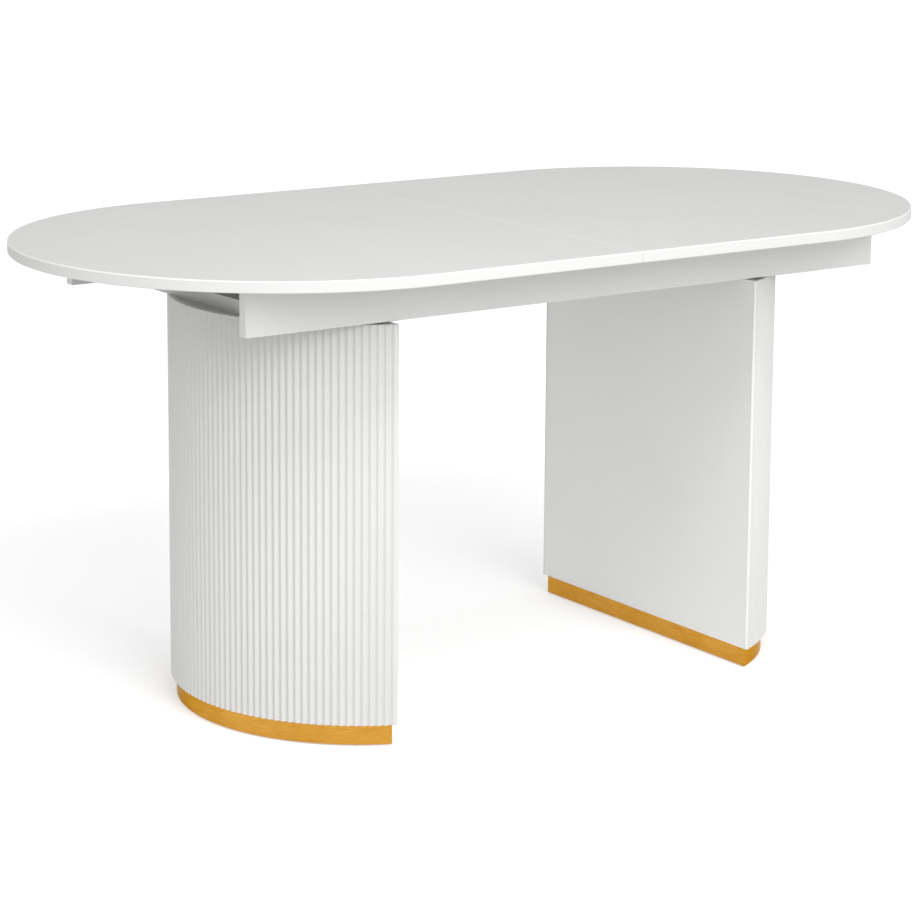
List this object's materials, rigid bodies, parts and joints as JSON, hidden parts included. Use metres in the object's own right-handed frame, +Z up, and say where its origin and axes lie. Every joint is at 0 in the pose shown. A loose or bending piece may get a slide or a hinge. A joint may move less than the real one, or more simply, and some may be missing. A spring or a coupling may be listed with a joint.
{
  "type": "extendable dining table",
  "caption": "Dining table with half-round ends whose top pulls apart on ball slides for a stored leaf, on half-round reeded pedestal legs with inset gold plinths.",
  "frame": {"origin": "on the floor under the middle of the closed table", "axes": "+X along the table to the half that carries the lock levers, +Z up, -Y to the side called near"},
  "size_m": [1.6, 0.85, 0.755],
  "materials": {
    "white_lacquer": "satin white lacquer on board",
    "raw_board": "raw fibreboard",
    "batten_wood": "planed beech",
    "dowel_plastic": "moulded",
    "zinc_steel": "bright zinc",
    "lock_steel": "nickel",
    "gold_metal": "brushed gold",
    "felt": "pressed felt",
    "glide_plastic": "moulded"
  },
  "bodies": {
    "frame": {"apron_far": "white_lacquer", "apron_near": "white_lacquer", "cam_bolts": "zinc_steel", "cam_discs": "zinc_steel", "fixed_rail_screws": "zinc_steel", "glides": "glide_plastic", "leaf_pads": "felt", "left_far_fixed_rail": "zinc_steel", "left_leg_base_panel": "raw_board", "left_leg_fluted_skin": "white_lacquer", "left_leg_inner_panel": "white_lacquer", "left_leg_lower_former": "raw_board", "left_leg_top_cap": "white_lacquer", "left_leg_upper_former": "raw_board", "left_near_fixed_rail": "zinc_steel", "left_plinth_band": "gold_metal", "left_plinth_core": "raw_board", "leg_board_left": "white_lacquer", "leg_board_right": "white_lacquer", "leg_bolts": "zinc_steel", "leg_insert_nuts": "zinc_steel", "middle_board": "white_lacquer", "right_far_fixed_rail": "zinc_steel", "right_leg_base_panel": "raw_board", "right_leg_fluted_skin": "white_lacquer", "right_leg_inner_panel": "white_lacquer", "right_leg_lower_former": "raw_board", "right_leg_top_cap": "white_lacquer", "right_leg_upper_former": "raw_board", "right_near_fixed_rail": "zinc_steel", "right_plinth_band": "gold_metal", "right_plinth_core": "raw_board"},
    "top_left": {"far_lock_keeper": "lock_steel", "left_batten_screws": "zinc_steel", "left_far_batten": "batten_wood", "left_far_moving_rail": "zinc_steel", "left_lock_screws": "zinc_steel", "left_near_batten": "batten_wood", "left_near_moving_rail": "zinc_steel", "left_slide_screws": "zinc_steel", "near_lock_keeper": "lock_steel", "top_half_left": "white_lacquer"},
    "top_right": {"far_lock_base": "lock_steel", "near_lock_base": "lock_steel", "right_batten_screws": "zinc_steel", "right_far_batten": "batten_wood", "right_far_moving_rail": "zinc_steel", "right_lock_screws": "zinc_steel", "right_near_batten": "batten_wood", "right_near_moving_rail": "zinc_steel", "right_slide_screws": "zinc_steel", "seam_pins": "dowel_plastic", "top_half_right": "white_lacquer"},
    "cages_left": {"left_ball_cages": "zinc_steel"},
    "cages_right": {"right_ball_cages": "zinc_steel"},
    "leaf": {"leaf": "white_lacquer", "leaf_pins": "dowel_plastic"},
    "lever_near": {"near_lock_lever": "lock_steel"},
    "lever_far": {"far_lock_lever": "lock_steel"}
  },
  "joints": [
    {"name": "top_left_slide", "type": "slide", "parent": "frame", "child": "top_left", "axis": [-1, 0, 0], "range_m": [0, 0.2]},
    {"name": "top_right_slide", "type": "slide", "parent": "frame", "child": "top_right", "axis": [1, 0, 0], "range_m": [0, 0.2]},
    {"name": "cages_left_slide", "type": "slide", "parent": "frame", "child": "cages_left", "axis": [-1, 0, 0], "range_m": [0, 0.1]},
    {"name": "cages_right_slide", "type": "slide", "parent": "frame", "child": "cages_right", "axis": [1, 0, 0], "range_m": [0, 0.1]},
    {"name": "leaf_slide", "type": "slide", "parent": "frame", "child": "leaf", "axis": [-1, 0, 0], "range_m": [0, 0.42]},
    {"name": "near_lock_turn", "type": "hinge", "parent": "top_right", "child": "lever_near", "pos_m": [0.026, -0.335, 0.7315], "axis": [0, 0, -1], "range_deg": [0, 180]},
    {"name": "far_lock_turn", "type": "hinge", "parent": "top_right", "child": "lever_far", "pos_m": [0.026, 0.335, 0.7315], "axis": [0, 0, 1], "range_deg": [0, 180]}
  ],
  "couplings": [
    {"joint": "cages_left_slide", "follows": "top_left_slide", "ratio": 0.5},
    {"joint": "cages_right_slide", "follows": "top_right_slide", "ratio": 0.5}
  ]
}
